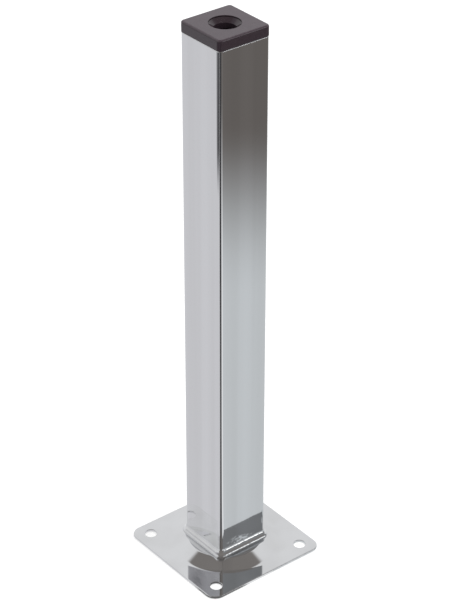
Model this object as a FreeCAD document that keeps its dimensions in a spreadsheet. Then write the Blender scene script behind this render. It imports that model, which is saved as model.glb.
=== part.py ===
"""Square chromed table leg: a beaded tube, a pressed fixing plate and a ribbed plastic foot cap."""

import FreeCAD, Part
import math
import os
import Sketcher

# Driving sizes in millimetres: name, value, meaning
SIZES = [
    ("leg_height", 400.0, "plate underside to the top of the foot cap"),
    ("tube_width", 40.0, "outside width of the square tube"),
    ("tube_wall", 1.2, "wall of the tube"),
    ("tube_corner", 3.0, "outside corner radius of the tube"),
    ("bead_reach", 3.0, "how far the bead stands out of the tube's face"),
    ("bead_sweep", 4.0, "hollow radius from the tube's face into the bead"),
    ("bead_rim", 2.0, "radius of the bead's rounded rim"),
    ("tab_width", 20.0, "width of a folded tab under the plate"),
    ("tab_reach", 3.5, "how far a tab reaches out under the plate"),
    ("tab_margin", 0.5, "flat sheet left beyond a tab's corner"),
    ("plate_width", 97.0, "side of the square plate"),
    ("plate_corner", 8.0, "corner radius of the plate"),
    ("plate_sheet", 1.5, "thickness of the plate's sheet"),
    ("plate_edge", 0.4, "easing of the plate's upper edge"),
    ("hole_inset", 11.0, "plate edge to screw hole centre"),
    ("hole_diameter", 8.5, "screw hole"),
    ("boss_rise", 4.5, "height of the round pressing"),
    ("boss_run", 14.0, "width of the pressing's sloping ring"),
    ("boss_foot_band", 2.8, "width of the band that eases the pressing's foot"),
    ("boss_shoulder_band", 1.9, "width of the band that eases the pressing's shoulder"),
    ("socket_clearance", 0.3, "gap between the tube and its hole in the plate"),
    ("cap_head", 7.5, "height of the cap above the tube's end"),
    ("cap_overhang", 0.1, "how far the cap's head stands past the tube"),
    ("cap_corner", 2.8, "upright corner radius of the cap's head"),
    ("cap_edge", 1.4, "rounding of the cap's top edge"),
    ("dish_diameter", 20.8, "mouth of the dished hole"),
    ("dish_lip", 1.0, "upright wall at the dish's mouth"),
    ("dish_depth", 3.6, "depth of the dish"),
    ("dish_edge", 0.3, "easing of the dish's mouth"),
    ("bore_diameter", 14.6, "hole below the dish"),
    ("shank_depth", 22.0, "length of the shank inside the tube"),
    ("shank_gap", 1.3, "gap between the shank's wall and the tube"),
    ("shank_wall", 2.0, "wall of the shank"),
    ("shank_corner", 2.5, "corner radius of the shank and its ribs"),
    ("shank_lead", 0.8, "bevel at the shank's leading end"),
    ("rib_thickness", 1.6, "thickness of a grip rib"),
    ("rib_first", 3.5, "tube end to the upper face of the first rib"),
    ("rib_pitch", 6.2, "distance from rib to rib"),
    ("rib_clearance", 0.1, "gap between a rib and the tube's wall"),
]
RIB_COUNT = 3
SIDES = 4

# Places that several pieces share
FACE = "(Sizes.tube_width / 2)"
INNER = "(Sizes.tube_width / 2 - Sizes.tube_wall)"
INNER_CORNER = "(Sizes.tube_corner - Sizes.tube_wall)"
SEAT = "(Sizes.plate_sheet + Sizes.boss_rise)"
TUBE_END = "(Sizes.leg_height - Sizes.cap_head)"
BOSS_TOP = "(sqrt((Sizes.tab_width / 2)^2 + (Sizes.tube_width / 2 + Sizes.tab_reach)^2) + Sizes.tab_margin)"
BOSS_FOOT = f"({BOSS_TOP} + Sizes.boss_run)"

doc = FreeCAD.newDocument("TableLeg")
sheet = doc.addObject("Spreadsheet::Sheet", "Sizes")


def fill_sheet():
    """Writes each driving size with its meaning beside it."""
    for row, (alias, value, meaning) in enumerate(SIZES, start=1):
        sheet.set(f"A{row}", meaning)
        sheet.set(f"B{row}", str(value))
        sheet.setAlias(f"B{row}", alias)
    doc.recompute()


def value_of(expression):
    """Number that an expression on the sheet gives now."""
    return float(sheet.evalExpression(expression))


def origin_feature(body, role):
    """Origin plane or axis of a body."""
    return next(item for item in body.Origin.OriginFeatures if item.Role == role)


def new_body(label, height=None):
    """Empty body whose own origin stands at a height above the plate's underside."""
    body = doc.addObject("PartDesign::Body", label)
    body.Label = label
    if height:
        body.setExpression("Placement.Base.z", height)
    return body


def new_sketch(body, name, role, height=None):
    """Sketch on an origin plane, lifted off it by an expression."""
    sketch = body.newObject("Sketcher::SketchObject", name)
    sketch.AttachmentSupport = [(origin_feature(body, role), "")]
    sketch.MapMode = "FlatFace"
    if height:
        sketch.setExpression("AttachmentOffset.Base.z", height)
    return sketch


def bind(sketch, name, kind, refs, expression):
    """Adds a dimension that follows an expression on the sheet."""
    index = sketch.addConstraint(Sketcher.Constraint(kind, *refs, value_of(expression)))
    sketch.renameConstraint(index, name)
    sketch.setExpression(f"Constraints.{name}", expression)


def line(start, end):
    """Straight edge of an outline, with the ends that it is joined by."""
    return Part.LineSegment(FreeCAD.Vector(*start, 0), FreeCAD.Vector(*end, 0)), 1, 2


def arc(centre, radius, first_deg, last_deg):
    """Round edge of an outline; it runs clockwise where the last angle is the smaller."""
    circle = Part.Circle(FreeCAD.Vector(*centre, 0), FreeCAD.Vector(0, 0, 1), radius)
    low, high = sorted((math.radians(first_deg), math.radians(last_deg)))
    ends = (1, 2) if last_deg > first_deg else (2, 1)
    return Part.ArcOfCircle(circle, low, high), *ends


def add_loop(sketch, edges, corners=()):
    """Joins edges end to end, square at the listed edges' far ends and smooth elsewhere."""
    ids = [sketch.addGeometry(edge[0], False) for edge in edges]
    for place, (_, _, end) in enumerate(edges):
        after = (place + 1) % len(edges)
        kind = "Coincident" if place in corners else "Tangent"
        sketch.addConstraint(Sketcher.Constraint(kind, ids[place], end, ids[after], edges[after][1]))
    return ids


def set_level(sketch, level, upright):
    """Keeps lines level or upright."""
    for index in level:
        sketch.addConstraint(Sketcher.Constraint("Horizontal", index))
    for index in upright:
        sketch.addConstraint(Sketcher.Constraint("Vertical", index))


def rounded_square(sketch, name, half, corner):
    """Square with rounded corners, centred on the sketch."""
    reach = value_of(half)
    radius = value_of(corner)
    flat = reach - radius
    edges = []
    for side in range(SIDES):
        turn = math.pi / 2 * side
        cos, sin = round(math.cos(turn)), round(math.sin(turn))
        start = (reach * cos + flat * sin, reach * sin - flat * cos)
        end = (reach * cos - flat * sin, reach * sin + flat * cos)
        centre = (flat * cos - flat * sin, flat * sin + flat * cos)
        edges.append(line(start, end))
        edges.append(arc(centre, radius, 90 * side, 90 * side + 90))
    ids = add_loop(sketch, edges)
    set_level(sketch, (ids[2], ids[6]), (ids[0], ids[4]))
    for index in ids[3::2]:
        sketch.addConstraint(Sketcher.Constraint("Equal", ids[1], index))
    sketch.addConstraint(Sketcher.Constraint("Equal", ids[0], ids[2]))
    sketch.addConstraint(Sketcher.Constraint("Symmetric", ids[1], 3, ids[5], 3, -1, 1))
    bind(sketch, f"{name}_corner", "Radius", (ids[1],), corner)
    bind(sketch, f"{name}_half", "DistanceX", (-1, 1, ids[0], 1), half)


def pad(body, name, sketch, length, downward=False, both_ways=False):
    """Solid raised from a sketch."""
    feature = body.newObject("PartDesign::Pad", name)
    feature.Profile = sketch
    feature.setExpression("Length", length)
    feature.Reversed = downward
    feature.Midplane = both_ways
    doc.recompute()
    return feature


def pocket(body, name, sketch, upward=False):
    """Cut right through the body from a sketch."""
    volume_before = body.Shape.Volume
    feature = body.newObject("PartDesign::Pocket", name)
    feature.Profile = sketch
    feature.Type = "ThroughAll"
    feature.Reversed = upward
    doc.recompute()
    must_shrink(body, name, volume_before)
    return feature


def must_shrink(body, name, volume_before):
    """A cut that points away from the solid takes nothing, so its volume is compared."""
    if body.Shape.Volume >= volume_before:
        raise RuntimeError(f"{name} cut nothing")


def polar_pattern(body, name, feature):
    """Repeats a feature on the four sides."""
    pattern = body.newObject("PartDesign::PolarPattern", name)
    pattern.Originals = [feature]
    pattern.Axis = (origin_feature(body, "Z_Axis"), [""])
    pattern.Angle = 360
    pattern.Occurrences = SIDES
    body.Tip = pattern
    doc.recompute()


def dress_edges(body, kind, name, size_name, size, chosen):
    """Rounds or bevels the edges of the body that a test picks."""
    base = body.Tip
    names = [f"Edge{i}" for i, edge in enumerate(base.Shape.Edges, start=1) if chosen(edge)]
    feature = body.newObject(kind, name)
    feature.Base = (base, names)
    feature.setExpression(size_name, size)
    doc.recompute()


def round_edges(body, name, radius, chosen):
    """Rounds the edges of the body that a test picks."""
    dress_edges(body, "PartDesign::Fillet", name, "Radius", radius, chosen)


def bevel_edges(body, name, width, chosen):
    """Bevels the edges of the body that a test picks."""
    dress_edges(body, "PartDesign::Chamfer", name, "Size", width, chosen)


def is_circle(edge, radius):
    """True for a round edge of a radius."""
    return isinstance(edge.Curve, Part.Circle) and abs(edge.Curve.Radius - radius) < 1e-4


def at_level(edge, height):
    """True where an edge lies flat at a height in its body."""
    box = edge.BoundBox
    return abs(box.ZMin - height) < 1e-4 and abs(box.ZMax - height) < 1e-4


def bead_outline(sketch):
    """Section of the bead outside: a hollow sweep off the tube's face, a rounded rim and a flat seat."""
    sweep, rim = "Sizes.bead_sweep", "Sizes.bead_rim"
    sweep_x = f"({FACE} + Sizes.bead_sweep)"
    rim_x = f"({FACE} + Sizes.bead_reach - Sizes.bead_rim)"
    back = f"({FACE} - Sizes.tube_wall / 2)"
    across = value_of(f"{sweep_x} - {rim_x}")
    lift = math.sqrt(value_of(f"{sweep} + {rim}") ** 2 - across ** 2)
    slant = math.degrees(math.atan2(lift, across))
    face, behind = value_of(FACE), value_of(back)
    x, z = value_of(rim_x), value_of(rim)
    edges = [
        line((behind, z + lift), (face, z + lift)),
        arc((x + across, z + lift), value_of(sweep), 180, 180 + slant),
        arc((x, z), z, slant, -90),
        line((x, 0), (behind, 0)),
        line((behind, 0), (behind, z + lift)),
    ]
    top, hollow, nose, seat, spine = add_loop(sketch, edges, corners=(0, 3, 4))
    set_level(sketch, (top, seat), (spine,))
    sketch.addConstraint(Sketcher.Constraint("PointOnObject", hollow, 3, top))
    bind(sketch, "sweep_radius", "Radius", (hollow,), sweep)
    bind(sketch, "rim_radius", "Radius", (nose,), rim)
    bind(sketch, "sweep_place", "DistanceX", (-1, 1, hollow, 3), sweep_x)
    bind(sketch, "rim_place", "DistanceX", (-1, 1, nose, 3), rim_x)
    bind(sketch, "rim_height", "DistanceY", (-1, 1, nose, 3), rim)
    bind(sketch, "back_place", "DistanceX", (-1, 1, spine, 1), back)


def groove_outline(sketch):
    """Section of the groove that the bead leaves inside the tube, one wall inside the bead."""
    nose_x = f"({FACE} + Sizes.bead_reach - Sizes.tube_wall)"
    back = f"({INNER} - Sizes.tube_wall / 2)"
    low, mouth = "Sizes.tube_wall", "2 * Sizes.bead_rim"
    nose_top = "2 * Sizes.bead_rim - Sizes.tube_wall"
    inner, nose, behind = value_of(INNER), value_of(nose_x), value_of(back)
    bottom, top, shoulder = value_of(low), value_of(mouth), value_of(nose_top)
    edges = [
        line((behind, top), (inner, top)),
        line((inner, top), (nose, shoulder)),
        line((nose, shoulder), (nose, bottom)),
        line((nose, bottom), (behind, bottom)),
        line((behind, bottom), (behind, top)),
    ]
    lid, flank, end, floor, spine = add_loop(sketch, edges, corners=range(len(edges)))
    set_level(sketch, (lid, floor), (end, spine))
    bind(sketch, "mouth_place", "DistanceX", (-1, 1, flank, 1), INNER)
    bind(sketch, "mouth_height", "DistanceY", (-1, 1, flank, 1), mouth)
    bind(sketch, "nose_place", "DistanceX", (-1, 1, end, 1), nose_x)
    bind(sketch, "nose_height", "DistanceY", (-1, 1, end, 1), nose_top)
    bind(sketch, "floor_height", "DistanceY", (-1, 1, floor, 1), low)
    bind(sketch, "back_place", "DistanceX", (-1, 1, spine, 1), back)


def tab_outline(sketch):
    """Section of one tab, folded out under the plate round a sharp inner bend."""
    under = "Sizes.plate_sheet"
    wall = "Sizes.tube_wall"
    tip = f"({FACE} + Sizes.tab_reach)"
    x, z, thick, far = value_of(FACE), -value_of(under), value_of(wall), value_of(tip)
    edges = [
        arc((x, z), thick, 180, 270),
        line((x, z - thick), (far, z - thick)),
        line((far, z - thick), (far, z)),
        line((far, z), (x - thick, z)),
    ]
    bend, lower, end, upper = add_loop(sketch, edges, corners=(1, 2, 3))
    set_level(sketch, (lower, upper), (end,))
    sketch.addConstraint(Sketcher.Constraint("PointOnObject", bend, 3, upper))
    bind(sketch, "tab_bend", "Radius", (bend,), wall)
    bind(sketch, "bend_place", "DistanceX", (-1, 1, bend, 3), FACE)
    bind(sketch, "bend_depth", "DistanceY", (bend, 3, -1, 1), under)
    bind(sketch, "tab_tip", "DistanceX", (-1, 1, end, 1), tip)


def sweep_round(body, kind, name, profile, path):
    """Carries a section round the tube."""
    feature = body.newObject(kind, name)
    feature.Profile = profile
    feature.Spine = (path, [f"Edge{i}" for i in range(1, len(path.Shape.Edges) + 1)])
    feature.Mode = "Binormal"
    feature.Binormal = FreeCAD.Vector(0, 0, 1)
    doc.recompute()


def make_tube():
    """Square tube that stands on the plate by its bead and is held by tabs folded under the sheet."""
    body = new_body("tube", SEAT)
    section = new_sketch(body, "TubeSection", "XY_Plane", "-Sizes.plate_sheet")
    rounded_square(section, "outer", FACE, "Sizes.tube_corner")
    rounded_square(section, "inner", INNER, INNER_CORNER)
    pad(body, "TubeWall", section, f"{TUBE_END} - {SEAT} + Sizes.plate_sheet")

    path = new_sketch(body, "BeadPath", "XY_Plane")
    rounded_square(path, "path", FACE, "Sizes.tube_corner")
    bead = new_sketch(body, "BeadSection", "XZ_Plane")
    bead_outline(bead)
    groove = new_sketch(body, "BeadInside", "XZ_Plane")
    groove_outline(groove)
    doc.recompute()
    sweep_round(body, "PartDesign::AdditivePipe", "Bead", bead, path)
    volume_before = body.Shape.Volume
    sweep_round(body, "PartDesign::SubtractivePipe", "BeadHollow", groove, path)
    must_shrink(body, "BeadHollow", volume_before)

    tab = new_sketch(body, "TabSection", "XZ_Plane")
    tab_outline(tab)
    polar_pattern(body, "Tabs", pad(body, "Tab", tab, "Sizes.tab_width", both_ways=True))
    return body


def boss_outline(sketch):
    """Section of the round pressing: a drawn sheet whose bends are each eased by a band at half the slope."""
    half_slope = "Sizes.boss_rise / Sizes.boss_run / 2"
    across = ("0", BOSS_TOP, f"({BOSS_TOP} + Sizes.boss_shoulder_band)",
              f"({BOSS_FOOT} - Sizes.boss_foot_band)", BOSS_FOOT)
    upper = (SEAT, SEAT, f"({SEAT} - Sizes.boss_shoulder_band * {half_slope})",
             f"(Sizes.plate_sheet + Sizes.boss_foot_band * {half_slope})", "Sizes.plate_sheet")
    places = [value_of(reach) for reach in across]
    heights = [value_of(level) for level in upper]
    thick = value_of("Sizes.plate_sheet")
    over = list(zip(places, heights))
    under = [(x, z - thick) for x, z in reversed(over)]
    corners = over + under
    edges = [line(start, end) for start, end in zip(corners, corners[1:] + corners[:1])]
    ids = add_loop(sketch, edges, corners=range(len(edges)))
    last = len(ids) - 1
    sketch.addConstraint(Sketcher.Constraint("PointOnObject", ids[0], 1, -2))
    sketch.addConstraint(Sketcher.Constraint("Vertical", ids[last]))
    bind(sketch, "height_0", "DistanceY", (-1, 1, ids[0], 1), upper[0])
    bind(sketch, "sheet_0", "DistanceY", (ids[last], 1, ids[0], 1), "Sizes.plate_sheet")
    for index in range(1, len(over)):
        below = ids[last - index]
        bind(sketch, f"place_{index}", "DistanceX", (-1, 1, ids[index], 1), across[index])
        bind(sketch, f"height_{index}", "DistanceY", (-1, 1, ids[index], 1), upper[index])
        sketch.addConstraint(Sketcher.Constraint("Vertical", ids[index], 1, below, 1))
        bind(sketch, f"sheet_{index}", "DistanceY", (below, 1, ids[index], 1), "Sizes.plate_sheet")


def add_circle(sketch, name, radius, place=None):
    """Circle at the sketch's centre, or out on its diagonal."""
    spot = value_of(place) if place else 0
    circle = Part.Circle(FreeCAD.Vector(spot, spot, 0), FreeCAD.Vector(0, 0, 1), value_of(radius))
    index = sketch.addGeometry(circle, False)
    bind(sketch, f"{name}_radius", "Radius", (index,), radius)
    if place:
        bind(sketch, f"{name}_x", "DistanceX", (-1, 1, index, 3), place)
        bind(sketch, f"{name}_y", "DistanceY", (-1, 1, index, 3), place)
    else:
        sketch.addConstraint(Sketcher.Constraint("Coincident", index, 3, -1, 1))


def make_plate():
    """Pressed sheet: flat rim, round pressing, square hole for the tube and four screw holes."""
    body = new_body("mounting_plate")
    outline = new_sketch(body, "PlateOutline", "XY_Plane")
    rounded_square(outline, "plate", "Sizes.plate_width / 2", "Sizes.plate_corner")
    add_circle(outline, "pressing", BOSS_FOOT)
    pad(body, "FlatRim", outline, "Sizes.plate_sheet")

    section = new_sketch(body, "PressingSection", "XZ_Plane")
    boss_outline(section)
    pressing = body.newObject("PartDesign::Revolution", "Pressing")
    pressing.Profile = section
    pressing.ReferenceAxis = (section, ["V_Axis"])
    pressing.Angle = 360
    doc.recompute()

    socket = new_sketch(body, "SocketOutline", "XY_Plane")
    rounded_square(socket, "socket", f"{FACE} + Sizes.socket_clearance",
                   "Sizes.tube_corner + Sizes.socket_clearance")
    pocket(body, "Socket", socket, upward=True)

    hole = new_sketch(body, "HoleOutline", "XY_Plane")
    add_circle(hole, "hole", "Sizes.hole_diameter / 2", "Sizes.plate_width / 2 - Sizes.hole_inset")
    polar_pattern(body, "ScrewHoles", pocket(body, "ScrewHole", hole, upward=True))

    top = value_of("Sizes.plate_sheet")
    beyond_holes = value_of("Sizes.plate_width / 2 - Sizes.plate_corner")
    bevel_edges(body, "EasedEdge", "Sizes.plate_edge", lambda edge: at_level(edge, top) and (
        max(abs(edge.CenterOfMass.x), abs(edge.CenterOfMass.y)) > beyond_holes))
    return body


def dish_outline(sketch):
    """Half section of the cap's hole: an upright lip, a cone and a bore that opens into the shank."""
    top, depth, below = "Sizes.cap_head", "Sizes.dish_depth", "Sizes.shank_wall"
    mouth, bore, lip = "Sizes.dish_diameter / 2", "Sizes.bore_diameter / 2", "Sizes.dish_lip"
    high, deep, low = value_of(top), value_of(f"{top} - {depth}"), -value_of(below)
    wide, narrow, lip_end = value_of(mouth), value_of(bore), value_of(f"{top} - {lip}")
    edges = [
        line((0, high), (wide, high)),
        line((wide, high), (wide, lip_end)),
        line((wide, lip_end), (narrow, deep)),
        line((narrow, deep), (narrow, low)),
        line((narrow, low), (0, low)),
        line((0, low), (0, high)),
    ]
    lid, rim, cone, wall, floor, axis = add_loop(sketch, edges, corners=range(len(edges)))
    set_level(sketch, (lid, floor), (rim, wall, axis))
    sketch.addConstraint(Sketcher.Constraint("PointOnObject", axis, 1, -2))
    bind(sketch, "mouth_radius", "DistanceX", (-1, 1, rim, 1), mouth)
    bind(sketch, "bore_radius", "DistanceX", (-1, 1, wall, 1), bore)
    bind(sketch, "mouth_height", "DistanceY", (-1, 1, rim, 1), top)
    bind(sketch, "lip_depth", "DistanceY", (rim, 2, rim, 1), lip)
    bind(sketch, "dish_depth", "DistanceY", (cone, 2, rim, 1), depth)
    bind(sketch, "bore_end", "DistanceY", (axis, 1, -1, 1), below)


def make_cap():
    """Plastic foot: square head with a dished hole, over a hollow shank with grip ribs."""
    body = new_body("end_cap", TUBE_END)
    head = new_sketch(body, "HeadOutline", "XY_Plane")
    rounded_square(head, "head", f"{FACE} + Sizes.cap_overhang", "Sizes.cap_corner")
    pad(body, "Head", head, "Sizes.cap_head")

    shank = new_sketch(body, "ShankOutline", "XY_Plane")
    rounded_square(shank, "shank", f"{INNER} - Sizes.shank_gap", "Sizes.shank_corner")
    pad(body, "Shank", shank, "Sizes.shank_depth", downward=True)
    tip = -value_of("Sizes.shank_depth")
    bevel_edges(body, "Lead", "Sizes.shank_lead", lambda edge: at_level(edge, tip))

    rib = new_sketch(body, "RibOutline", "XY_Plane", "-Sizes.rib_first")
    rounded_square(rib, "rib", f"{INNER} - Sizes.rib_clearance", "Sizes.shank_corner")
    first_rib = pad(body, "Rib", rib, "Sizes.rib_thickness", downward=True)
    ribs = body.newObject("PartDesign::LinearPattern", "Ribs")
    ribs.Originals = [first_rib]
    ribs.Direction = (origin_feature(body, "Z_Axis"), [""])
    ribs.Reversed = True
    ribs.Mode = "Spacing"
    ribs.setExpression("Offset", "Sizes.rib_pitch")
    ribs.Occurrences = RIB_COUNT
    body.Tip = ribs
    doc.recompute()

    hollow = new_sketch(body, "HollowOutline", "XY_Plane")
    rounded_square(hollow, "hollow", f"{INNER} - Sizes.shank_gap - Sizes.shank_wall",
                   "Sizes.shank_corner - Sizes.shank_wall / 2")
    pocket(body, "Hollow", hollow)

    section = new_sketch(body, "DishSection", "XZ_Plane")
    dish_outline(section)
    volume_before = body.Shape.Volume
    dish = body.newObject("PartDesign::Groove", "Dish")
    dish.Profile = section
    dish.ReferenceAxis = (section, ["V_Axis"])
    dish.Angle = 360
    doc.recompute()
    must_shrink(body, "Dish", volume_before)

    top = value_of("Sizes.cap_head")
    mouth = value_of("Sizes.dish_diameter / 2")
    bevel_edges(body, "DishEdge", "Sizes.dish_edge", lambda edge: (
        at_level(edge, top) and is_circle(edge, mouth)))
    round_edges(body, "TopEdge", "Sizes.cap_edge", lambda edge: at_level(edge, top) and (
        max(abs(edge.CenterOfMass.x), abs(edge.CenterOfMass.y)) > mouth))
    return body


def check_and_write(bodies):
    """Stops on a failed object or a bad shape, then writes each piece to its file."""
    failed = [item.Name for item in doc.Objects if {"Invalid", "Error"} & set(item.State)]
    if failed:
        raise RuntimeError(f"failed objects: {failed}")
    for body in bodies:
        shape = body.Shape
        if shape.isNull() or not shape.isValid() or len(shape.Solids) != 1:
            raise RuntimeError(f"{body.Label} is not one sound solid")
    os.makedirs("parts", exist_ok=True)
    for body in bodies:
        body.Shape.exportStep(f"parts/{body.Label}.step")
        print(f"{body.Label}: {body.Shape.Volume / 1000:.2f} cm3")


def main():
    """Builds the leg from the sheet."""
    fill_sheet()
    bodies = [make_tube(), make_plate(), make_cap()]
    doc.recompute()
    check_and_write(bodies)


main()
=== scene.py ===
"""Dresses the square metal table leg: chromed tube and plate, moulded foot cap and a plain stage."""

import math

import bmesh
import bpy
from bpy.props import FloatProperty, FloatVectorProperty, IntProperty, PointerProperty
from bpy.types import NodeSocket, Operator, Panel, PropertyGroup
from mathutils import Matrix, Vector


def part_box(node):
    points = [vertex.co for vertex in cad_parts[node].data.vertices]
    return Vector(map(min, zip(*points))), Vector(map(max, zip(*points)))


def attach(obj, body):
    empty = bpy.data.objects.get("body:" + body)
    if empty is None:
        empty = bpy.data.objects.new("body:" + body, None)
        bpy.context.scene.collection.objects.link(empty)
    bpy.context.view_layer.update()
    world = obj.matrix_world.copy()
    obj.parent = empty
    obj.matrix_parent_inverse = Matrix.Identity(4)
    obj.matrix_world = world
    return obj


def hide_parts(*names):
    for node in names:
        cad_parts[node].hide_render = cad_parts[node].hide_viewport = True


bl_info = {
    "name": "Square Metal Table Leg",
    "version": (1, 0, 0),
    "blender": (4, 5, 0),
    "location": "View3D > Sidebar > Table Leg",
    "description": "Builds a chromed square table leg on its packed frame",
    "category": "Object",
}

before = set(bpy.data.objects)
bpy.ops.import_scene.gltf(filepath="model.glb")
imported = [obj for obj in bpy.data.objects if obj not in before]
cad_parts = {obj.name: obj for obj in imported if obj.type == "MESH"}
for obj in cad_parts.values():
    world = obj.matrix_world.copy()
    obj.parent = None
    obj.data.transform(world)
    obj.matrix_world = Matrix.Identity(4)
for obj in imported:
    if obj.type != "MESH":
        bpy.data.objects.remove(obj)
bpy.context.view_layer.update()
tube_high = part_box("tube")[1]
plate_low, plate_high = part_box("mounting_plate")
cap_low, cap_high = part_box("end_cap")

SIDES = 4
WHITE = (1.0, 1.0, 1.0, 1.0)
# Faces that meet at a larger angle keep a hard edge between them.
CREASE = math.radians(35)
# Points that are nearer to each other than this become one.
WELD = 0.000005


def length(name, default, description):
    """Property for a size in metres."""
    return FloatProperty(
        name=name, description=description, default=default, min=0.0, unit="LENGTH", precision=5)


def share(name, default, description):
    """Property for a part of one."""
    return FloatProperty(
        name=name, description=description, default=default, min=0.0, max=1.0, subtype="FACTOR", precision=3)


def tilt(name, degrees, description):
    """Property for an angle, given here in degrees."""
    return FloatProperty(
        name=name, description=description, default=math.radians(degrees), subtype="ANGLE")


def colour(name, default, description):
    """Property for a linear colour, which may be brighter than white on a lit panel."""
    return FloatVectorProperty(
        name=name, description=description, default=default, min=0.0, max=2.0, subtype="COLOR")


class LegSizes(PropertyGroup):
    """Sizes of the leg's pieces."""

    tube_width: length("Tube width", 0.040, "Outside width of the square tube")
    tube_wall: length("Tube wall", 0.0012, "Wall of the tube")
    tube_corner: length("Tube corner", 0.003, "Outside corner radius of the tube")
    tube_end_edge: length("Tube end edge", 0.0006, "Rounding of the tube's upper end")
    tube_top: length("Tube top", tube_high.z, "Height of the tube's upper end")
    tube_foot: length("Tube foot", 0.0045, "Height where the tube's wall ends inside the plate")
    seat: length("Seat", plate_high.z, "Height of the plate's face that the bead stands on")
    bead_reach: length("Bead reach", 0.003, "How far the bead stands out of the tube's face")
    bead_sweep: length("Bead sweep", 0.004, "Hollow radius from the tube's face into the bead")
    bead_rim: length("Bead rim", 0.002, "Radius of the bead's rounded rim")
    tab_width: length("Tab width", 0.020, "Width of a folded tab under the plate")
    tab_reach: length("Tab reach", 0.0035, "How far a tab reaches out under the plate")
    plate_width: length("Plate width", plate_high.x - plate_low.x, "Side of the square plate")
    plate_corner: length("Plate corner", 0.008, "Corner radius of the plate")
    plate_sheet: length("Plate sheet", 0.0015, "Thickness of the plate's sheet")
    plate_edge: length("Plate edge", 0.0005, "Rounding of the plate's upper edge")
    socket_gap: length("Socket gap", 0.0003, "Gap between the tube and its hole in the plate")
    hole_inset: length("Hole inset", 0.011, "Plate edge to screw hole centre")
    hole_diameter: length("Hole diameter", 0.0085, "Screw hole")
    hole_lip: length("Hole lip", 0.0003, "Rounding of a screw hole's edges")
    boss_top: length("Pressing top", 0.02604, "Radius of the pressing's flat top")
    boss_foot: length("Pressing foot", 0.04004, "Radius of the pressing at its foot")
    boss_shoulder_bend: length("Shoulder bend", 0.005, "Radius of the pressing's upper bend")
    boss_foot_bend: length("Foot bend", 0.010, "Radius of the pressing's lower bend")
    cap_width: length("Cap width", cap_high.x - cap_low.x, "Width of the cap's head")
    cap_top: length("Cap top", cap_high.z, "Height of the cap's top face")
    cap_low: length("Cap shank end", cap_low.z, "Height of the shank's leading end")
    cap_corner: length("Cap corner", 0.0028, "Upright corner radius of the head")
    cap_edge: length("Cap edge", 0.0014, "Rounding of the head's top edge")
    cap_seam: length("Cap seam", 0.0004, "Rounding of the head's lower edge")
    dish_diameter: length("Dish diameter", 0.0208, "Mouth of the dished hole")
    dish_lip: length("Dish lip", 0.0010, "Upright wall at the dish's mouth")
    dish_depth: length("Dish depth", 0.0036, "Depth of the dish")
    dish_edge: length("Dish edge", 0.0003, "Rounding of the dish's mouth")
    bore_diameter: length("Bore diameter", 0.0146, "Hole below the dish")
    shank_half: length("Shank half width", 0.0175, "Centre to the outside of the shank's wall")
    shank_wall: length("Shank wall", 0.002, "Wall of the shank")
    shank_corner: length("Shank corner", 0.0025, "Corner radius of the shank and its ribs")
    shank_lead: length("Shank lead", 0.0008, "Bevel at the shank's leading end")
    rib_half: length("Rib half width", 0.0187, "Centre to the edge of a grip rib")
    rib_thickness: length("Rib thickness", 0.0016, "Thickness of a grip rib")
    rib_first: length("First rib", 0.0035, "Tube end to the upper face of the first rib")
    rib_pitch: length("Rib pitch", 0.0062, "Distance from rib to rib")
    rib_count: IntProperty(name="Ribs", description="Number of grip ribs", default=3, min=1)
    corner_steps: IntProperty(name="Corner steps", description="Faces round a corner", default=20, min=4)


class LegFinish(PropertyGroup):
    """Colours and surface of the leg's finishes."""

    chrome: colour("Chrome", (0.837, 0.842, 0.853), "Bright plating")
    chrome_shade: colour("Chrome shade", (0.773, 0.776, 0.782), "Plating where it is thinner")
    chrome_polish: share("Chrome polish", 0.03, "Roughness of the clearest plating")
    chrome_haze: share("Chrome haze", 0.075, "Roughness of the haziest plating")
    pebble_depth: length("Pebble depth", 0.00013, "Depth of the pebbles where the tube's end was swollen")
    pebble_full: length("Full pebbles", 0.004, "Height above the bead up to which they are full")
    pebble_end: length("End of pebbles", 0.022, "Height above the bead where they have faded")
    bare_steel: colour("Bare steel", (0.19, 0.18, 0.17), "Unplated inside of the tube")
    steel_dullness: share("Steel dullness", 0.5, "Roughness that bare steel adds")
    plastic: colour("Plastic", (0.044, 0.030, 0.039), "Moulded cap")
    # Painted shade: the dish's wall is coloured darker where shade falls in the hollow.
    plastic_painted_shade: colour("Painted dish shade", (0.026, 0.017, 0.022), "Darker dish wall, as painted shade")
    plastic_worn: colour("Worn plastic", (0.059, 0.044, 0.053), "Rubbed edges of the cap")
    plastic_smooth: share("Smooth plastic", 0.10, "Roughness of the smoothest plastic")
    plastic_matt: share("Matt plastic", 0.18, "Roughness of the dullest plastic")
    rub_least: share("Least rub", 0.25, "Part of the rubbing that shows where the colour is deepest")
    rub_clouds: share("Cloudy rub", 0.28, "How far the clouds alone lead to the worn colour")


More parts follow.
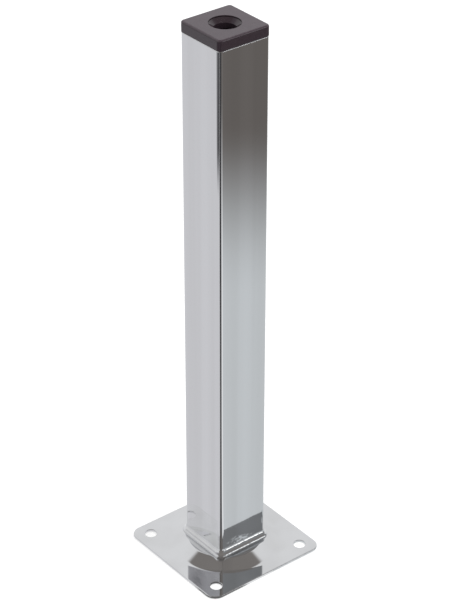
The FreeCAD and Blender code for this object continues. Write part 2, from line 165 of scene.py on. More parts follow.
class LegStage(PropertyGroup):
    """Camera, floor and light; the floor and room colours are what polished metal mirrors."""

    azimuth: tilt("Azimuth", 51.592, "Camera's turn round the leg")
    elevation: tilt("Elevation", 31.521, "Camera's angle above the floor")
    distance: length("Distance", 1.4374, "Camera to the point that it looks at")
    aim: length("Aim height", 0.2, "Height of the point that the camera looks at")
    lens: FloatProperty(
        name="Lens", description="Focal length in millimetres", default=130.33, subtype="DISTANCE_CAMERA")
    fill: share("Fill", 0.5, "Strength of the even light from all round")
    floor: length("Floor", 4.0, "Half the floor's width")
    floor_drop: length("Floor drop", 0.0005, "Floor below the plate, so that the two don't share a plane")
    floor_matt: colour("Matt floor", (0.62, 0.62, 0.62), "Floor that keeps the shadow")
    glow_near: share("Near glow", 0.48, "Floor's own light for the camera beside the leg")
    glow_far: share("Far glow", 1.0, "Floor's own light for the camera far from the leg")
    glow_start: length("Glow start", 0.5, "Distance from the leg where that light begins to grow")
    glow_end: length("Glow end", 2.5, "Distance from the leg where it has grown")
    floor_left: colour("Floor on the left", (0.668, 0.668, 0.692), "White floor, seen in the left face")
    floor_right: colour("Floor on the right", (0.619, 0.647, 0.664), "White floor, seen in the right face")
    floor_back: colour("Floor behind", (0.92, 0.92, 0.93), "Lit floor behind the leg")
    floor_bright: colour("Bright floor", (0.88, 0.89, 0.90), "Lit strip beside the shaded floor")
    floor_shade: colour("Shaded floor", (0.125, 0.124, 0.127), "Leg's own shade on the floor")
    floor_far: colour("Far floor", (0.146, 0.133, 0.125), "Bare floor past the white sheet")
    floor_front: colour("Front floor", (0.058, 0.058, 0.062), "Shaded floor towards the camera")
    floor_gleam: colour("Gleam on the floor", (0.20, 0.20, 0.21), "Paler strip in the far shade")
    back_wall: colour("Back wall", (0.757, 0.761, 0.769), "White wall behind the leg")
    left_panel: colour("Left panel", (0.81, 0.81, 0.823), "Lit panel on the left")
    left_wall: colour("Left wall", (0.40, 0.398, 0.418), "Wall above the lit panel")
    left_post: colour("Left post", (0.10, 0.098, 0.106), "Dark post in front of that wall")
    left_low: colour("Low left wall", (0.70, 0.705, 0.705), "Wall below the lit panel")
    right_wall: colour("Right wall", (0.235, 0.242, 0.249), "Wall on the shaded side")
    right_strip: colour("Right strip", (2.0, 2.0, 2.0), "Low strip light on the shaded side")
    ceiling: colour("Ceiling", (0.208, 0.195, 0.186), "Dim ceiling over the leg")
    room: colour("Room", (0.195, 0.182, 0.172), "Dim room behind the camera")


# What polished metal sees on the floor: a colour, the bearings that it spans, in degrees from the
# camera's side to its right, with their softness, and the distance from the leg where it begins, with
# its softness. A patch that begins at nought reaches the leg.
FLOOR_PATCHES = (
    ("floor_bright", 18, 44, 3, 0.0, 0.001),
    ("floor_far", 44, 200, 3, 0.522, 0.165),
    ("floor_far", 14, 44, 3, 0.62, 0.165),
    ("floor_front", -98, -28, 2, 0.60, 0.06),
    ("floor_gleam", -84, -56, 5, 0.60, 0.06),
    ("floor_shade", -21, 17, 4, 0.0, 0.001),
    ("floor_front", -24, 17, 4, 0.30, 0.15),
    ("floor_back", 135, 200, 8, 0.0, 0.001),
    ("floor_back", -200, -135, 8, 0.0, 0.001),
)

# What it sees around it: a colour, its bearings and their softness, then its lowest and highest angle
# above the level and their softness, all in degrees, and the mirror images that show it: all, or the first.
ROOM_PATCHES = (
    ("room", -100, 100, 16, -95, 95, 1, "all"),
    ("right_wall", 45, 118, 8, -95, 95, 1, "all"),
    ("left_low", -110, -40, 3, -95, 34.5, 0.8, "all"),
    ("left_panel", -110, -40, 3, 34.5, 38.1, 0.8, "all"),
    ("left_wall", -110, -40, 3, 38.1, 95, 0.8, "all"),
    ("left_post", -104.34, -104.02, 0.06, 38.7, 41, 0.05, "all"),
    ("ceiling", -200, 200, 1, 56.5, 95, 2.5, "all"),
    ("ceiling", 60, 118, 6, 47, 95, 2.5, "all"),
    ("right_strip", 66, 84, 1, 2, 14, 1, "first"),
)

# A ray that has met fewer mirrors than this shows a first mirror image.
SECOND_IMAGE = 1.5

# Each lamp's name, place, width in metres and power in watts.
LAMPS = (
    ("overhead_lamp", (0.35, 0.4, 2.3), 1.4, 42.0),
    ("left_lamp", (-0.9, -1.8, 0.9), 1.0, 4.0),
)


def rounded_square(half, corner, height, steps):
    """Points of a square with rounded corners, anticlockwise seen from above."""
    flat = half - corner
    points = []
    for side in range(SIDES):
        turn = math.pi / 2 * side
        cos, sin = round(math.cos(turn)), round(math.sin(turn))
        for step in range(steps + 1):
            angle = turn + math.pi / 2 * step / steps
            points.append((flat * (cos - sin) + corner * math.cos(angle),
                           flat * (sin + cos) + corner * math.sin(angle), height))
    return points


def circle(radius, height, count, centre=(0.0, 0.0)):
    """Points of a level circle, anticlockwise seen from above."""
    angles = [math.tau * i / count for i in range(count)]
    return [(centre[0] + radius * math.cos(angle), centre[1] + radius * math.sin(angle), height)
            for angle in angles]


def quarter_arc(steps):
    """Shares across and down of a quarter round, from its flat end to its upright end."""
    turns = [math.pi / 2 * step / steps for step in range(steps + 1)]
    return [(math.sin(turn), 1.0 - math.cos(turn)) for turn in turns]


def block_sides(half, corner, upper, lower, steps):
    """Rings down a square block; each edge is its height, its rounding and its number of faces."""
    rings = []
    for (height, ease, faces), inwards in ((upper, -1), (lower, 1)):
        for across, down in quarter_arc(faces)[::-inwards]:
            inset = ease * (1 - across)
            level = height + inwards * ease * down
            rings.append(rounded_square(half - inset, corner - inset, level, steps))
    return rings


def square_reach(angle, half, corner):
    """Distance from the centre to a rounded square in one direction."""
    cos, sin = abs(math.cos(angle)), abs(math.sin(angle))
    flat = half - corner
    if half * min(cos, sin) <= flat * max(cos, sin):
        return half / max(cos, sin)
    along = flat * (cos + sin)
    return along + math.sqrt(along ** 2 - 2 * flat ** 2 + corner ** 2)


def add_ring(mesh, points):
    """Vertices of one ring."""
    return [mesh.verts.new(point) for point in points]


def bridge(mesh, first, second):
    """Faces between two rings of equal count."""
    count = len(first)
    for i in range(count):
        j = (i + 1) % count
        mesh.faces.new((first[i], first[j], second[j], second[i]))


def loft(mesh, rings):
    """Faces through a row of rings; returns the first and the last ring's vertices."""
    made = [add_ring(mesh, points) for points in rings]
    for first, second in zip(made, made[1:]):
        bridge(mesh, first, second)
    return made[0], made[-1]


def fill_flat(mesh, *rings):
    """Level face bounded by rings, the first of them the outer one."""
    edges = []
    for ring in rings:
        for i, vert in enumerate(ring):
            after = ring[(i + 1) % len(ring)]
            edges.append(mesh.edges.get((vert, after)) or mesh.edges.new((vert, after)))
    bmesh.ops.triangle_fill(mesh, edges=edges, use_beauty=True, use_dissolve=False)


def new_piece(name, mesh):
    """Object that holds a finished working mesh."""
    data = bpy.data.meshes.new(name)
    mesh.to_mesh(data)
    mesh.free()
    piece = bpy.data.objects.new(name, data)
    bpy.context.scene.collection.objects.link(piece)
    return piece


def keep_result(piece):
    """Makes what a piece's modifiers show its plain mesh, and takes them off."""
    depsgraph = bpy.context.evaluated_depsgraph_get()
    result = bpy.data.meshes.new_from_object(piece.evaluated_get(depsgraph), depsgraph=depsgraph)
    piece.modifiers.clear()
    old = piece.data
    piece.data = result
    bpy.data.meshes.remove(old)
    result.name = piece.name


def face_outwards(piece):
    """Points the faces outwards and lets the large faces lead the shading."""
    mesh = bmesh.new()
    mesh.from_mesh(piece.data)
    bmesh.ops.recalc_face_normals(mesh, faces=mesh.faces)
    mesh.to_mesh(piece.data)
    mesh.free()
    lead = piece.modifiers.new("LargeFacesLead", "WEIGHTED_NORMAL")
    lead.mode = "FACE_AREA"
    lead.keep_sharp = True
    keep_result(piece)


def take_place(piece, node):
    """Fixes a piece to the leg in place of a plain solid."""
    if not piece.data.polygons:
        raise RuntimeError(f"{piece.name} came out empty")
    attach(piece, "root")
    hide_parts(node)


def add_node(tree, kind, inputs=None, **settings):
    """Node with its own settings and the values of its sockets."""
    node = tree.nodes.new(kind)
    for key, value in settings.items():
        setattr(node, key, value)
    for key, value in (inputs or {}).items():
        if isinstance(value, NodeSocket):
            tree.links.new(value, node.inputs[key])
        else:
            node.inputs[key].default_value = value
    return node


def output_of(tree, kind, inputs=None, **settings):
    """First output of a new node."""
    return add_node(tree, kind, inputs, **settings).outputs[0]


def compute(tree, operation, *values):
    """Output of a calculation on numbers or on other nodes' outputs."""
    return output_of(tree, "ShaderNodeMath", dict(enumerate(values)), operation=operation)


def measure(tree, operation, *vectors):
    """Number that comes out of a calculation on vectors."""
    node = add_node(tree, "ShaderNodeVectorMath", dict(enumerate(vectors)), operation=operation)
    return node.outputs["Value"]


def upright(tree, height):
    """Vector straight up by a height."""
    return output_of(tree, "ShaderNodeCombineXYZ", {"Z": height})


def new_tree(name, inputs):
    """Geometry tree and its inputs: a geometry, those named, a crease angle and a finish."""
    tree = bpy.data.node_groups.new(name, "GeometryNodeTree")
    tree.interface.new_socket("Geometry", in_out="INPUT", socket_type="NodeSocketGeometry")
    tree.interface.new_socket("Geometry", in_out="OUTPUT", socket_type="NodeSocketGeometry")
    for label, kind in (*inputs, ("Crease", "Float"), ("Finish", "Material")):
        tree.interface.new_socket(label, in_out="INPUT", socket_type=f"NodeSocket{kind}")
    return tree, tree.nodes.new("NodeGroupInput").outputs


def set_copies(tree, points, shape, turns=None):
    """Real copies of a shape on points, each turned where turns are given."""
    inputs = {"Points": points, "Instance": shape}
    if turns is not None:
        inputs["Rotation"] = turns
    copies = output_of(tree, "GeometryNodeInstanceOnPoints", inputs)
    return output_of(tree, "GeometryNodeRealizeInstances", {"Geometry": copies})


def join(tree, *parts):
    """One geometry out of several."""
    both = tree.nodes.new("GeometryNodeJoinGeometry")
    for part in parts:
        tree.links.new(part, both.inputs["Geometry"])
    return both.outputs["Geometry"]


def weld(tree, geometry):
    """Geometry whose touching points are one."""
    return output_of(tree, "GeometryNodeMergeByDistance", {"Geometry": geometry, "Distance": WELD})


def end_tree(tree, given, geometry):
    """Smooth shading with creases kept, then real geometry with its material."""
    smooth = output_of(tree, "GeometryNodeSetShadeSmooth", {"Geometry": geometry, "Shade Smooth": True})
    angle = add_node(tree, "GeometryNodeInputMeshEdgeAngle").outputs["Unsigned Angle"]
    crease = output_of(tree, "FunctionNodeCompare", {
        0: angle, 1: given["Crease"],
    }, data_type="FLOAT", operation="GREATER_THAN")
    sharp = output_of(tree, "GeometryNodeSetShadeSmooth", {
        "Geometry": smooth, "Selection": crease, "Shade Smooth": False,
    }, domain="EDGE")
    real = output_of(tree, "GeometryNodeRealizeInstances", {"Geometry": sharp})
    painted = output_of(tree, "GeometryNodeSetMaterial", {"Geometry": real, "Material": given["Finish"]})
    add_node(tree, "NodeGroupOutput", {"Geometry": painted})
    return tree


def run_tree(piece, tree, finish, sizes):
    """Turns a piece into the plain mesh that its tree makes from a finish and sizes."""
    values = {**sizes, "Crease": CREASE, "Finish": finish}
    modifier = piece.modifiers.new(tree.name, "NODES")
    modifier.node_group = tree
    for item in tree.interface.items_tree:
        if item.in_out == "INPUT" and item.name in values:
            modifier[item.identifier] = values[item.name]
    keep_result(piece)
    face_outwards(piece)


def start_tree(owner, kind):
    """Empty shader tree of a material or world, and its output's surface socket."""
    owner.use_nodes = True
    tree = owner.node_tree
    tree.nodes.clear()
    return tree, tree.nodes.new(kind).inputs["Surface"]


def new_finish(name, constants):
    """Material with its tree, its surface shader, which has constants, and the place on the piece."""
    material = bpy.data.materials.new(name)
    tree, surface = start_tree(material, "ShaderNodeOutputMaterial")
    shader = add_node(tree, "ShaderNodeBsdfPrincipled", constants)
    tree.links.new(shader.outputs["BSDF"], surface)
    return material, tree, shader, tree.nodes.new("ShaderNodeTexCoord").outputs["Object"]


def soft_step(tree, value, start, end, low=0.0, high=1.0):
    """Output that goes softly from low to high while a value goes from start to end."""
    return output_of(tree, "ShaderNodeMapRange", {
        "Value": value, "From Min": start, "From Max": end, "To Min": low, "To Max": high,
    }, interpolation_type="SMOOTHSTEP")


def noise(tree, vector, scale, detail, roughness=0.5):
    """Output of a noise pattern."""
    return output_of(tree, "ShaderNodeTexNoise", {
        "Vector": vector, "Scale": scale, "Detail": detail, "Roughness": roughness,
    })


def bump(tree, height, strength, distance, under=None):
    """Normal of a bumpy surface, laid over another one where that is given."""
    inputs = {"Height": height, "Strength": strength, "Distance": distance}
    if under is not None:
        inputs["Normal"] = under
    return output_of(tree, "ShaderNodeBump", inputs)


def mix_colours(tree, first, second, part):
    """Colour between two, each given as numbers or as another node's output."""
    node = add_node(tree, "ShaderNodeMix", {"Factor": part}, data_type="RGBA")
    ends = [socket for socket in node.inputs if socket.enabled and socket.name in "AB"]
    for socket, tone in zip(ends, (first, second)):
        if isinstance(tone, NodeSocket):
            tree.links.new(tone, socket)
        else:
            socket.default_value = (*tone, 1.0)
    return next(socket for socket in node.outputs if socket.enabled)


def mix_shaders(tree, part, first, second):
    """Shader between two."""
    return output_of(tree, "ShaderNodeMixShader", {0: part, 1: first, 2: second})


def paint(tree, shader, tone, rough, normal):
    """Leads a colour, a roughness and a normal into a surface shader."""
    for output, label in ((tone, "Base Color"), (rough, "Roughness"), (normal, "Normal")):
        tree.links.new(output, shader.inputs[label])


def plating(tree, finish, place, stretch, shift):
    """Tone, roughness and normal of bright plating: soft bands, faint haze, fine lines and slow waves."""
    drawn = output_of(tree, "ShaderNodeMapping", {"Vector": place, "Location": shift, "Scale": stretch})
    bands = noise(tree, drawn, scale=0.6, detail=2.0, roughness=0.45)
    thin = soft_step(tree, bands, start=0.3, end=0.7)
    tone = mix_colours(tree, finish.chrome, finish.chrome_shade, thin)
    haze = noise(tree, place, scale=38.0, detail=4.0, roughness=0.6)
    gloss = soft_step(tree, haze, start=0.3, end=0.75, low=finish.chrome_polish, high=finish.chrome_haze)
    lines = noise(tree, drawn, scale=7.0, detail=2.0)
    waves = noise(tree, place, scale=22.0, detail=1.0)
    fine = bump(tree, lines, strength=0.03, distance=0.00002)
    return tone, gloss, bump(tree, waves, strength=0.10, distance=0.0004, under=fine)


def plate_chrome(finish):
    """Plating on the pressed sheet."""
    material, tree, shader, place = new_finish("pressed_chrome", {"Metallic": 1.0})
    paint(tree, shader, *plating(tree, finish, place, stretch=(60.0, 60.0, 60.0), shift=(0.0, 0.0, 0.0)))
    return material


def tube_chrome(finish, sizes):
    """Plating on the drawn tube, pebbled on two faces where its end was swollen, and bare steel inside."""
    material, tree, shader, place = new_finish("drawn_chrome", {"Metallic": 1.0})
    tone, gloss, normal = plating(tree, finish, place, stretch=(130.0, 130.0, 1.2), shift=(12.3, 3.7, 0.0))
    axes = add_node(tree, "ShaderNodeSeparateXYZ", {"Vector": place}).outputs
    across, along = (compute(tree, "ABSOLUTE", axes[label]) for label in "XY")
    face, wall = sizes.tube_width / 2, sizes.tube_wall
    bare_to, plated_from = face - 0.8 * wall, face - 0.5 * wall
    reach = compute(tree, "MAXIMUM", across, along)
    inside = soft_step(tree, reach, bare_to, plated_from, low=1.0, high=0.0)
    rough = compute(tree, "ADD", gloss, compute(tree, "MULTIPLY", inside, finish.steel_dullness))
    bead_top = sizes.seat + 2 * sizes.bead_rim
    full_to, gone_from = bead_top + finish.pebble_full, bead_top + finish.pebble_end
    low_end = soft_step(tree, axes["Z"], full_to, gone_from, low=1.0, high=0.0)
    lead = compute(tree, "SUBTRACT", across, along)
    two_faces = soft_step(tree, lead, start=0.0, end=sizes.tube_corner)
    swollen = compute(tree, "MULTIPLY", low_end, two_faces)
    pebbles = noise(tree, place, scale=380.0, detail=1.0)
    paint(tree, shader, mix_colours(tree, tone, finish.bare_steel, inside), rough,
          bump(tree, pebbles, swollen, finish.pebble_depth, under=normal))
    return material


def cap_plastic(finish):
    """Moulded plastic: fine spark grain, cloudy colour, paler rubbed edges and painted shade on the dish's
    wall.
    """
    material, tree, shader, place = new_finish("grained_plastic", {"IOR": 1.58})
    rubbed, sheltered = (add_node(tree, "ShaderNodeAttribute", attribute_name=mark).outputs["Fac"]
                         for mark in ("rubbed", "sheltered"))
    cloud = noise(tree, place, scale=240.0, detail=5.0, roughness=0.65)
    patches = soft_step(tree, cloud, start=0.35, end=0.65, low=finish.rub_least)
    pale = soft_step(tree, cloud, start=0.4, end=0.7, high=finish.rub_clouds)
    tint = compute(tree, "MAXIMUM", compute(tree, "MULTIPLY", rubbed, patches), pale)
    tone = mix_colours(tree, finish.plastic, finish.plastic_worn, tint)
    rough = soft_step(tree, cloud, start=0.3, end=0.7, low=finish.plastic_smooth, high=finish.plastic_matt)
    grain = noise(tree, place, scale=2600.0, detail=2.0)
    # The dish's wall is mixed to a darker colour: painted shade.
    paint(tree, shader, mix_colours(tree, tone, finish.plastic_painted_shade, sheltered), rough,
          bump(tree, grain, strength=0.09, distance=0.00003))
    return material


class LEG_OT_tube(Operator):
    """Square tube with its bead and the tabs that hold the plate"""

    bl_idname = "table_leg.tube"
    bl_label = "Tube"

    RIM_STEPS = 22
    SWEEP_STEPS = 14
    END_STEPS = 6
    FOLD_STEPS = 10

    def execute(self, context):
        sizes = context.scene.leg_sizes
        tab = new_piece("tab_pattern", self.tab_mesh(sizes))
        tube = new_piece("chromed_tube", self.wall_section(sizes))
        run_tree(tube, self.sweep_tree(), tube_chrome(context.scene.leg_finish, sizes), {
            "Width": sizes.tube_width,
            "Corner": sizes.tube_corner,
            "Steps": sizes.corner_steps,
            "Tab": tab,
            "Tabs": SIDES,
        })
        bpy.data.objects.remove(tab)
        take_place(tube, "tube")
        return {"FINISHED"}

    def wall_section(self, sizes):
        """Closed outline of the wall: outwards from the tube's face, and down along Y."""
        sweep, rim, wall = sizes.bead_sweep, sizes.bead_rim, sizes.tube_wall
        rim_x = sizes.bead_reach - rim
        rim_z = sizes.seat + rim
        lift = math.sqrt((sweep + rim) ** 2 - (sweep - rim_x) ** 2)
        slant = math.atan2(lift, sweep - rim_x)
        outline = [(0.0, sizes.tube_foot), (0.0, sizes.seat)]
        for step in range(self.RIM_STEPS + 1):
            angle = -math.pi / 2 + (slant + math.pi / 2) * step / self.RIM_STEPS
            outline.append((rim_x + rim * math.cos(angle), rim_z + rim * math.sin(angle)))
        for step in range(1, self.SWEEP_STEPS + 1):
            angle = math.pi + slant * (1 - step / self.SWEEP_STEPS)
            outline.append((sweep + sweep * math.cos(angle), rim_z + lift + sweep * math.sin(angle)))
        ease = sizes.tube_end_edge
        for across, down in reversed(quarter_arc(self.END_STEPS)):
            outline.append((ease * (across - 1), sizes.tube_top - ease * down))
        nose = sizes.bead_reach - wall
        outline += [
            (-wall, sizes.tube_top),
            (-wall, sizes.seat + 2 * rim),
            (nose, sizes.seat + 2 * rim - wall),
            (nose, sizes.seat + wall),
            (-wall, sizes.seat + wall),
            (-wall, sizes.tube_foot),
        ]
        mesh = bmesh.new()
        ring = add_ring(mesh, [(x, -z, 0.0) for x, z in outline])
        for i, vert in enumerate(ring):
            mesh.edges.new((vert, ring[(i + 1) % len(ring)]))
        return mesh

    def tab_mesh(self, sizes):
        """One tab on the +X side: a bend out of the wall and a flat lip under the sheet."""
        face, wall = sizes.tube_width / 2, sizes.tube_wall
        top = sizes.seat - sizes.plate_sheet
        tip = face + sizes.tab_reach
        ease = wall / 5
        outline = [(face - wall, top)]
        for step in range(1, self.FOLD_STEPS + 1):
            angle = math.pi + math.pi / 2 * step / self.FOLD_STEPS
            outline.append((face + wall * math.cos(angle), top + wall * math.sin(angle)))
        outline += [(tip - ease, top - wall), (tip, top - wall + ease), (tip, top - ease), (tip - ease, top)]
        mesh = bmesh.new()
        half = sizes.tab_width / 2
        ends = [add_ring(mesh, [(x, y, z) for x, z in outline]) for y in (-half, half)]
        bridge(mesh, *ends)
        for end in ends:
            mesh.faces.new(end)
        return mesh

    @staticmethod
    def sweep_tree():
        """Carries the section round a square with round corners and sets a tab on each side."""
        tree, given = new_tree("TubeSweep", [
            ("Width", "Float"), ("Corner", "Float"), ("Steps", "Int"), ("Tab", "Object"), ("Tabs", "Int"),
        ])
        square = output_of(tree, "GeometryNodeCurvePrimitiveQuadrilateral", {
            "Width": given["Width"], "Height": given["Width"],
        })
        path = output_of(tree, "GeometryNodeFilletCurve", {
            "Curve": square, "Count": given["Steps"], "Radius": given["Corner"],
        }, mode="POLY")
        level = output_of(tree, "GeometryNodeSetCurveNormal", {"Curve": path}, mode="Z_UP")
        section = output_of(tree, "GeometryNodeMeshToCurve", {"Mesh": given["Geometry"]})
        wall = output_of(tree, "GeometryNodeCurveToMesh", {"Curve": level, "Profile Curve": section})
        shape = add_node(tree, "GeometryNodeObjectInfo", {"Object": given["Tab"]}).outputs["Geometry"]
        centre = output_of(tree, "GeometryNodeMeshLine", {"Count": given["Tabs"], "Offset": (0.0, 0.0, 0.0)})
        index = output_of(tree, "GeometryNodeInputIndex")
        turn = compute(tree, "MULTIPLY", index, compute(tree, "DIVIDE", math.tau, given["Tabs"]))
        spin = output_of(tree, "FunctionNodeAxisAngleToRotation", {"Angle": turn})
        return end_tree(tree, given, join(tree, set_copies(tree, centre, shape, spin), wall))


class LEG_OT_plate(Operator):
    """Pressed plate with its round pressing, square socket and screw holes"""

    bl_idname = "table_leg.plate"
    bl_label = "Mounting plate"

    RAYS = 240
    HOLE_POINTS = 64
    UPPER_STEPS = 5
    LOWER_STEPS = 4
    BEND_STEPS = 8
    LIP_STEPS = 5
    # Least gap from one ring of the pressing to the next, where they run into the socket.
    RING_GAP = 0.00002

    def execute(self, context):
        sizes = context.scene.leg_sizes
        plate = new_piece("chromed_plate", self.sheet_mesh(sizes))
        run_tree(plate, self.hole_tree(), plate_chrome(context.scene.leg_finish), {
            "Spacing": sizes.plate_width - 2 * sizes.hole_inset,
            "Radius": sizes.hole_diameter / 2,
            "Lip": sizes.hole_lip,
            "Sheet": sizes.plate_sheet,
            "Points": self.HOLE_POINTS,
        })
        take_place(plate, "mounting_plate")
        return {"FINISHED"}

    def sheet_mesh(self, sizes):
        """Both faces of the sheet, its rim and the square socket, open at the screw holes."""
        mesh = bmesh.new()
        sheet, edge, half = sizes.plate_sheet, sizes.plate_edge, sizes.plate_width / 2
        top_foot, top_seat = self.pressing(mesh, sizes, 0.0)
        low_foot, low_seat = self.pressing(mesh, sizes, -sheet)
        bridge(mesh, top_seat, low_seat)
        upper, lower = (sheet, edge, self.UPPER_STEPS), (0.0, edge / 2, self.LOWER_STEPS)
        top_rim, low_rim = loft(mesh, block_sides(half, sizes.plate_corner, upper, lower, sizes.corner_steps))
        spot = half - sizes.hole_inset
        reach = sizes.hole_diameter / 2 + sizes.hole_lip
        for outer, foot, height in ((top_rim, top_foot, sheet), (low_rim, low_foot, 0.0)):
            holes = [add_ring(mesh, circle(reach, height, self.HOLE_POINTS, (x, y)))
                     for x in (-spot, spot) for y in (-spot, spot)]
            fill_flat(mesh, outer, foot, *holes)
        return mesh

    def pressing(self, mesh, sizes, shift):
        """Round pressing as rings from its foot up to the square socket; returns its two edges."""
        top, foot = sizes.boss_top, sizes.boss_foot
        shoulder, hollow = sizes.boss_shoulder_bend, sizes.boss_foot_bend
        seat, base = sizes.seat, sizes.plate_sheet
        drop = base + hollow - seat + shoulder
        apart = math.hypot(foot - top, drop)
        slope = math.asin((shoulder + hollow) / apart) - math.atan2(drop, foot - top)
        turns = [slope * step / self.BEND_STEPS for step in range(self.BEND_STEPS + 1)]
        profile = [(foot - hollow * math.sin(turn), base + hollow * (1 - math.cos(turn))) for turn in turns]
        profile += [(top + shoulder * math.sin(turn), seat - shoulder * (1 - math.cos(turn)))
                    for turn in reversed(turns)]
        half = sizes.tube_width / 2 + sizes.socket_gap
        corner = sizes.tube_corner + sizes.socket_gap
        angles = [math.tau * i / self.RAYS for i in range(self.RAYS)]
        socket = [square_reach(angle, half, corner) for angle in angles]
        levels = []
        for place, (radius, height) in enumerate(profile):
            room = self.RING_GAP * (len(profile) - place)
            levels.append(([max(radius, inner + room) for inner in socket], height))
        levels.append((socket, seat))
        rings = []
        for reaches, height in levels:
            heights = [shift + self.height_at(reach, profile, height) for reach in reaches]
            rings.append([(reach * math.cos(angle), reach * math.sin(angle), level)
                          for reach, angle, level in zip(reaches, angles, heights)])
        return loft(mesh, rings)

    @staticmethod
    def height_at(radius, profile, fallback):
        """Height of the pressing's face at a radius."""
        for (outer, low), (inner, high) in zip(profile, profile[1:]):
            if inner < radius <= outer:
                return high + (low - high) * (radius - inner) / (outer - inner)
        return fallback

    def hole_tree(self):
        """Sets a rounded lip and wall into each screw hole."""
        tree, given = new_tree("ScrewHoles", [
            ("Spacing", "Float"), ("Radius", "Float"), ("Lip", "Float"),
            ("Sheet", "Float"), ("Points", "Int"),
        ])
        lip, sheet = given["Lip"], given["Sheet"]
        arc = quarter_arc(self.LIP_STEPS)
        levels = [(1 - across, down) for across, down in arc]
        levels += [(1 - across, -down) for across, down in reversed(arc)]
        reaches = [compute(tree, "ADD", given["Radius"], compute(tree, "MULTIPLY", lip, wide))
                   for wide, _ in levels]
        falls = [compute(tree, "MULTIPLY", lip, drop - next_drop)
                 for (_, drop), (_, next_drop) in zip(levels, levels[1:])]
        # The fall from one lip to the other is the straight wall: the sheet less both lips.
        falls[self.LIP_STEPS] = compute(tree, "SUBTRACT", falls[self.LIP_STEPS], sheet)
        ring = output_of(tree, "GeometryNodeMeshCircle", {"Vertices": given["Points"], "Radius": reaches[0]})
        geometry = output_of(tree, "GeometryNodeTransform", {
            "Geometry": ring, "Translation": upright(tree, sheet),
        })
        place = output_of(tree, "GeometryNodeInputPosition")
        last_edge = {}
        for fall, reach, next_reach in zip(falls, reaches, reaches[1:]):
            pushed = add_node(tree, "GeometryNodeExtrudeMesh", {
                "Mesh": geometry, "Offset": upright(tree, fall), **last_edge,
            }, mode="EDGES").outputs
            ratio = compute(tree, "DIVIDE", next_reach, reach)
            factor = output_of(tree, "ShaderNodeCombineXYZ", {"X": ratio, "Y": ratio, "Z": 1.0})
            drawn_in = output_of(tree, "ShaderNodeVectorMath", {0: place, 1: factor}, operation="MULTIPLY")
            geometry = output_of(tree, "GeometryNodeSetPosition", {
                "Geometry": pushed["Mesh"], "Selection": pushed["Top"], "Position": drawn_in,
            })
            last_edge = {"Selection": pushed["Top"]}
        spots = output_of(tree, "GeometryNodeMeshGrid", {
            "Size X": given["Spacing"], "Size Y": given["Spacing"], "Vertices X": 2, "Vertices Y": 2,
        })
        holes = set_copies(tree, spots, geometry)
        return end_tree(tree, given, weld(tree, join(tree, holes, given["Geometry"])))


